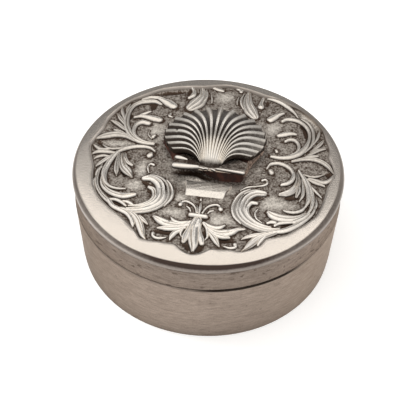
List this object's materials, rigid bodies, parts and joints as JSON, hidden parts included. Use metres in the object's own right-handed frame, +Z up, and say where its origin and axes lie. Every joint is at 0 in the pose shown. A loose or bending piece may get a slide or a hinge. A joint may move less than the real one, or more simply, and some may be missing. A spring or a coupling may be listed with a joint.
{
  "type": "round lidded keepsake box",
  "caption": "Round metal keepsake box with a lift-off lid that fits over an inner collar; scrollwork relief and a domed scallop shell ornament on the lid.",
  "frame": {"origin": "centre of the foot, on the surface that the box stands on", "axes": "+Z up along the drum's axis; the shell's hinge and the blank tablet face -Y, the front; +X to the right seen from the front"},
  "size_m": [0.09, 0.09, 0.0438],
  "materials": {
    "brushed_metal": "brushed round, warm grey, lightly pitted",
    "polished_metal": "polished border, patinated dark in the sunk field",
    "cast_metal": "polished ribs with dark patina in the grooves",
    "solder": "dull reddish brown, rough"
  },
  "bodies": {
    "body": {"body_wall": "brushed_metal", "base_plate": "brushed_metal", "body_collar": "brushed_metal"},
    "lid": {"lid_wall": "brushed_metal", "lid_plate": "polished_metal", "shell": "cast_metal", "solder_bed": "solder"}
  },
  "joints": [
    {"name": "lid_lift", "type": "slide", "parent": "body", "child": "lid", "axis": [0, 0, 1], "range_m": [0, 0.06]}
  ]
}
